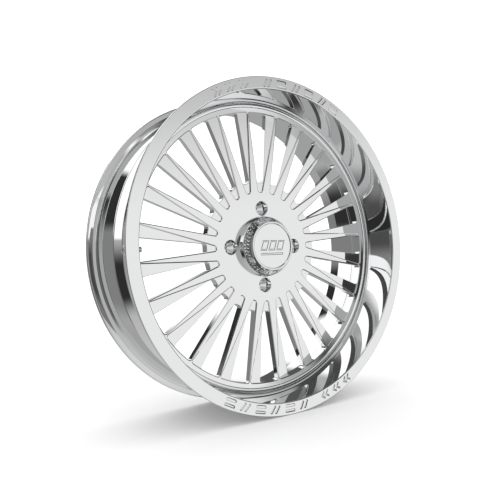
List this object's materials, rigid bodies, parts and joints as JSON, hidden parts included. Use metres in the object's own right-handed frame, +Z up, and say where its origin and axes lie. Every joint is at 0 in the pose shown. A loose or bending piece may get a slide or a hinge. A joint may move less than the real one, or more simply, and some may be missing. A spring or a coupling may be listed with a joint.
{
  "type": "forged racing wheel rim",
  "caption": "Polished forged racing wheel: deep-lip rim barrel with a many-spoked centre disc, lug holes on a circle, a tall push-in centre cap and a clamp-in tyre valve.",
  "frame": {"origin": "centre of the flat mounting face that bolts against the vehicle's hub, on the axle line", "axes": "+Y along the axle towards the vehicle, +Z up, show face towards -Y, +X to the right seen from the front"},
  "size_m": [0.6485, 0.203, 0.6486],
  "materials": {
    "polished_alloy": "mirror polished, clear",
    "weld_alloy": "as welded, brushed",
    "cap_alloy": "mirror polished with an engraved band",
    "steel": "bright zinc plated",
    "nickel_brass": "nickel plated brass",
    "bare_brass": "turned brass",
    "black_rubber": "moulded, matt",
    "white_polymer": "sealing polymer"
  },
  "bodies": {
    "wheel": {"rim_barrel": "polished_alloy", "centre_disc": "polished_alloy", "weld_bead": "weld_alloy", "valve_stem": "nickel_brass", "valve_inner_seal": "black_rubber", "valve_outer_seal": "black_rubber", "valve_washer": "steel", "valve_nut": "nickel_brass", "core_swivel": "bare_brass", "core_barrel": "bare_brass", "core_gasket": "white_polymer", "core_spring": "steel"},
    "core_plunger": {"core_pin": "bare_brass", "core_cup": "black_rubber"},
    "dust_cap_gasket": {"valve_cap_seal": "black_rubber"},
    "dust_cap": {"valve_cap": "nickel_brass"},
    "centre_cap": {"cap_body": "cap_alloy", "cap_insert": "cap_alloy", "cap_insert_screws": "steel", "cap_o_rings": "black_rubber"}
  },
  "joints": [
    {"name": "centre_cap_pull", "type": "slide", "parent": "wheel", "child": "centre_cap", "axis": [0, -1, 0], "range_m": [0, 0.06]},
    {"name": "valve_press", "type": "slide", "parent": "wheel", "child": "core_plunger", "axis": [-1, 0, 0], "range_m": [0, 0.0015], "stiffness_N_per_m": 400, "springref_m": -0.0015, "deforming": ["core_spring"]},
    {"name": "dust_cap_lift", "type": "slide", "parent": "wheel", "child": "dust_cap_gasket", "axis": [1, 0, 0], "range_m": [0, 0.0107]},
    {"name": "dust_cap_turn", "type": "hinge", "parent": "dust_cap_gasket", "child": "dust_cap", "pos_m": [-0.28, -0.0545, 0], "axis": [1, 0, 0], "range_deg": [0, 4860]}
  ],
  "couplings": [
    {"joint": "dust_cap_turn", "follows": "dust_cap_lift", "rad_per_m": 7913.3}
  ]
}
